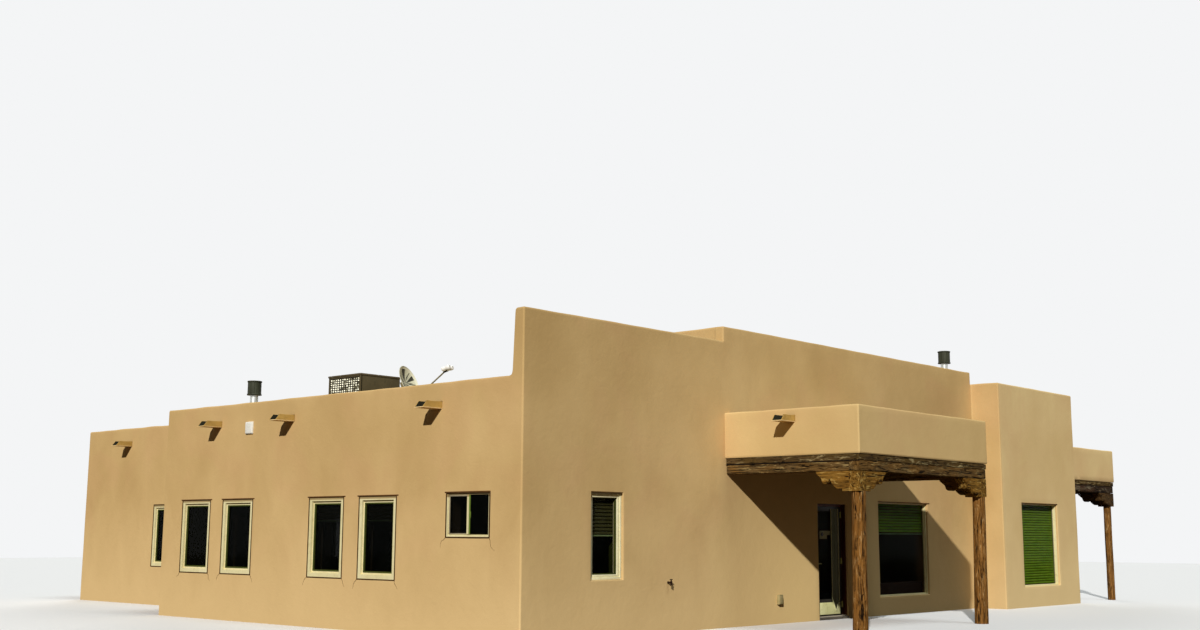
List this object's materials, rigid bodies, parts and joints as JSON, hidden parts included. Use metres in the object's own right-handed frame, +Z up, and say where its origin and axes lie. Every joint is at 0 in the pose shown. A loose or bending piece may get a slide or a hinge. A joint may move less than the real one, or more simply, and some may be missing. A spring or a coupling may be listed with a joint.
{
  "type": "adobe house",
  "caption": "Flat-roofed adobe house with a stepped parapet, rear wing, log porch on carved corbels, roof spouts and a hinged glazed door.",
  "frame": {"origin": "on the ground, under the middle of the model's box", "axes": "+Z up, the front wall with the door faces -Y, the long left wall faces -X"},
  "size_m": [20.64, 18.87, 5.7],
  "materials": {
    "stucco": "hand-floated earth-coloured stucco",
    "roof_deck": "pale gravelled roofing",
    "concrete_floor": "worn concrete",
    "beam_wood": "weathered",
    "carved_wood": "carved, weathered",
    "log_wood": "peeled log with drying cracks",
    "door_frame_brown": "painted dark red-brown",
    "door_leaf_brown": "dark olive paint",
    "door_glass": "dark glass",
    "door_metal": "dull",
    "window_frame_cream": "cream",
    "window_glass": "dark glass",
    "blind_green": "dull green slats",
    "spout_board": "stucco-coloured boards with a grey lining",
    "unit_paint": "dark taupe",
    "dish_paint": "weathered pale grey",
    "vent_metal": "dark cap on a bright pipe",
    "fixture_white": "white"
  },
  "bodies": {
    "house": {"front_wall_left": "stucco", "front_wall_middle": "stucco", "front_wall_over_door": "stucco", "front_wall_right": "stucco", "block_front_wall": "stucco", "left_wall": "stucco", "back_wall": "stucco", "right_wall": "stucco", "wing_left_wall": "stucco", "wing_back_wall": "stucco", "wing_right_wall": "stucco", "great_left_wall": "stucco", "great_back_wall": "stucco", "great_right_wall": "stucco", "block_back_wall": "stucco", "porch_parapet": "stucco", "side_porch_parapet": "stucco", "low_roof_left": "roof_deck", "low_roof_back": "roof_deck", "wing_roof": "roof_deck", "great_roof": "roof_deck", "block_roof": "roof_deck", "porch_roof": "roof_deck", "side_porch_roof": "roof_deck", "floor_slab": "concrete_floor", "porch_planks": "beam_wood", "porch_beams": "beam_wood", "side_porch_planks": "beam_wood", "side_porch_beams": "beam_wood", "porch_corbels": "carved_wood", "side_porch_corbels": "carved_wood", "porch_posts": "log_wood", "side_porch_posts": "log_wood", "door_frame": "door_frame_brown", "left_window_frames": "window_frame_cream", "front_window_frames": "window_frame_cream", "rear_window_frames": "window_frame_cream", "left_window_glass": "window_glass", "front_window_glass": "window_glass", "rear_window_glass": "window_glass", "window_blinds": "blind_green", "roof_spouts": "spout_board", "rooftop_unit": "unit_paint", "satellite_dish": "dish_paint", "vent_stacks": "vent_metal", "wall_fixtures": "fixture_white"},
    "door": {"door_leaf": "door_leaf_brown", "door_glass": "door_glass", "door_hardware": "door_metal"}
  },
  "joints": [
    {"name": "door_hinge", "type": "hinge", "parent": "house", "child": "door", "pos_m": [-1.2915, -6.688, 1], "axis": [0, 0, 1], "range_deg": [0, 105]}
  ]
}
